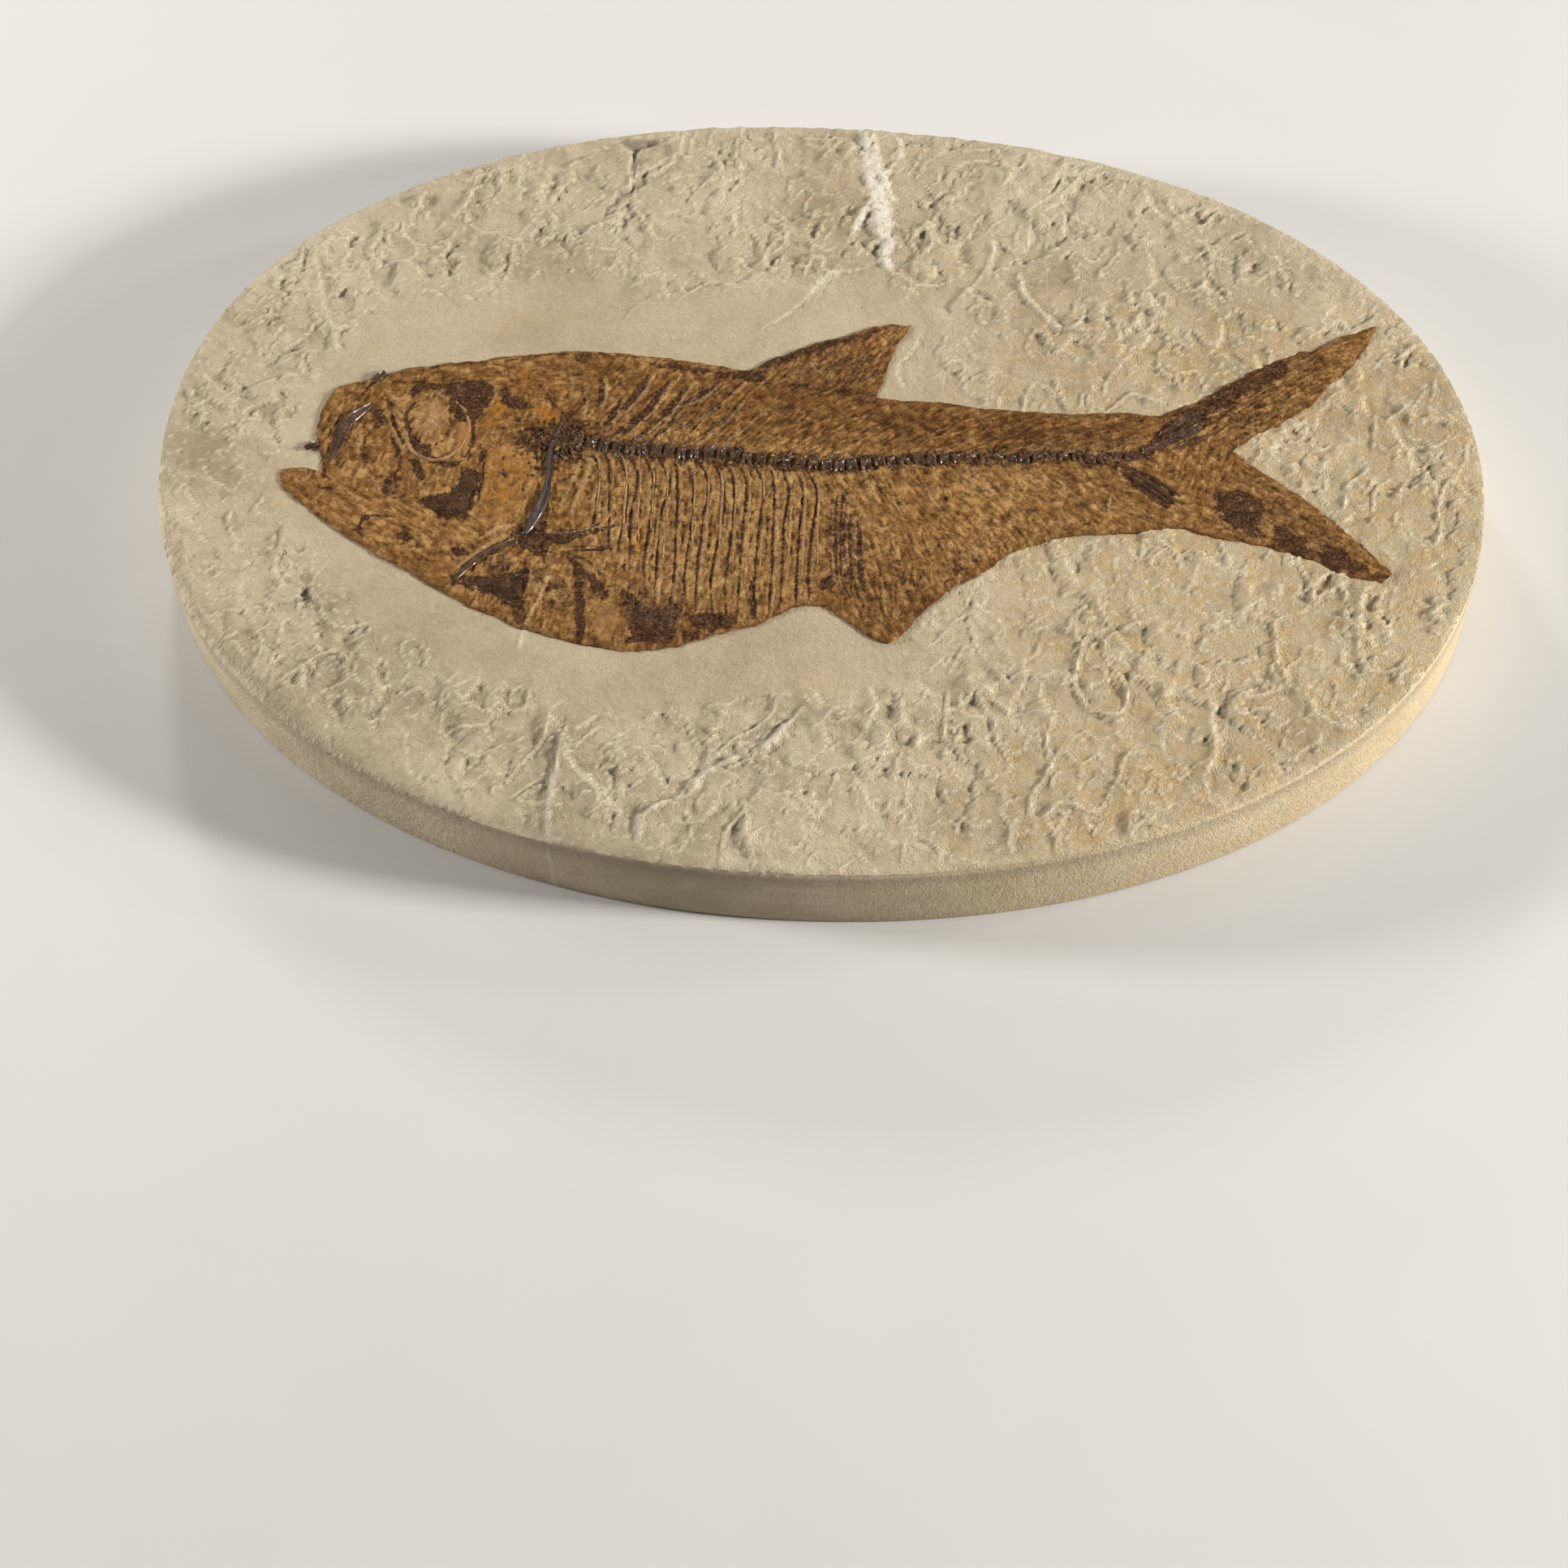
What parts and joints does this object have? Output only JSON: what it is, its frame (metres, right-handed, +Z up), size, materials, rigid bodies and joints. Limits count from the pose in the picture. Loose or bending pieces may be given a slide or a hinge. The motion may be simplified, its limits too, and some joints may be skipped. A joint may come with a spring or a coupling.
{
  "type": "fossil fish slab",
  "caption": "Oval slab of pale split limestone with sawn sides, holding one whole fossil fish, lying face up.",
  "frame": {"origin": "middle of the slab's flat underside", "axes": "+X along the fish from head to tail, +Y towards its back, +Z up out of the split face"},
  "size_m": [0.331, 0.244, 0.0247],
  "materials": {
    "limestone": "rough split face, sawn matt sides",
    "fish_skin": "mineralised skin and flesh, lacquered to a low gloss",
    "dark_bone": "dark mineralised bone, glossy",
    "pale_bone": "light brown mineralised bone, smooth, low gloss"
  },
  "bodies": {
    "root": {"matrix_slab": "limestone", "fish_film": "fish_skin", "backbone": "dark_bone", "lower_tail_bone": "dark_bone", "shoulder_bone": "dark_bone", "throat_bone": "dark_bone", "upper_jaw": "dark_bone", "crest_knob": "dark_bone", "jaw_tooth": "dark_bone", "pectoral_ray_1": "dark_bone", "pectoral_ray_2": "dark_bone", "cheek_bone": "dark_bone", "breast_plate": "dark_bone", "eye_ring": "pale_bone", "gill_cover": "pale_bone"}
  },
  "joints": []
}
